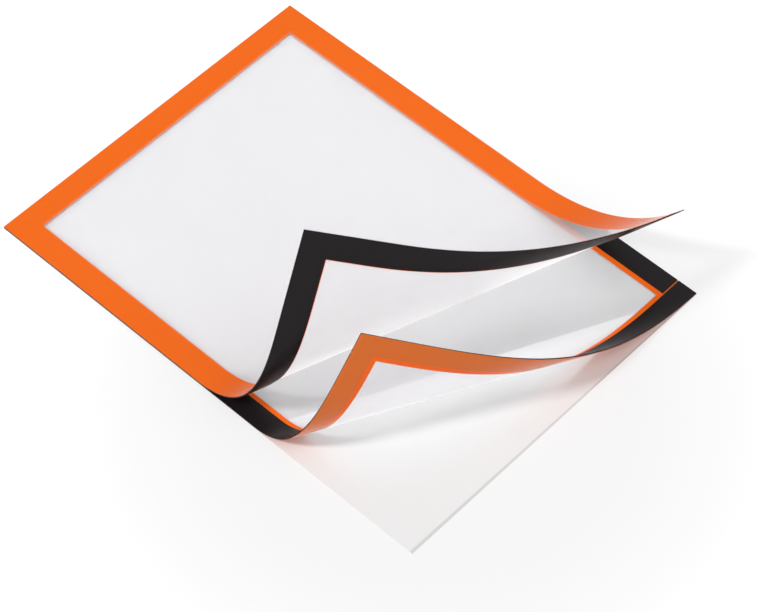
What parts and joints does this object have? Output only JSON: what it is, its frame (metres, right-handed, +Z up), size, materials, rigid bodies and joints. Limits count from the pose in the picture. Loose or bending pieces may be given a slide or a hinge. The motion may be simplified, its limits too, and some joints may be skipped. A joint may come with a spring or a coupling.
{
  "type": "self-adhesive info frame",
  "caption": "Flat self-adhesive info frame lying on its release liner, its two clear bordered sheets lifted at one corner to take a paper insert.",
  "frame": {"origin": "middle of the release liner's underside, which lies on the table", "axes": "+Y runs up the frame's long side, away from the lifted corner; +X runs to the right along its short side; +Z up, out of the front"},
  "size_m": [0.2411, 0.323, 0.1285],
  "materials": {
    "liner": "glossy translucent release film",
    "film": "clear satin film",
    "border": "satin orange",
    "magnet": "matt black magnetic strip"
  },
  "bodies": {
    "root": {"release_liner": "liner", "rear_film": "film", "rear_border": "border", "rear_magnet_top": "magnet", "rear_magnet_right": "magnet", "rear_magnet_bottom": "magnet", "rear_magnet_left": "magnet", "front_magnet_top": "magnet", "front_magnet_right": "magnet", "front_magnet_bottom": "magnet", "front_magnet_left": "magnet", "front_border": "border", "front_film": "film"}
  },
  "joints": []
}
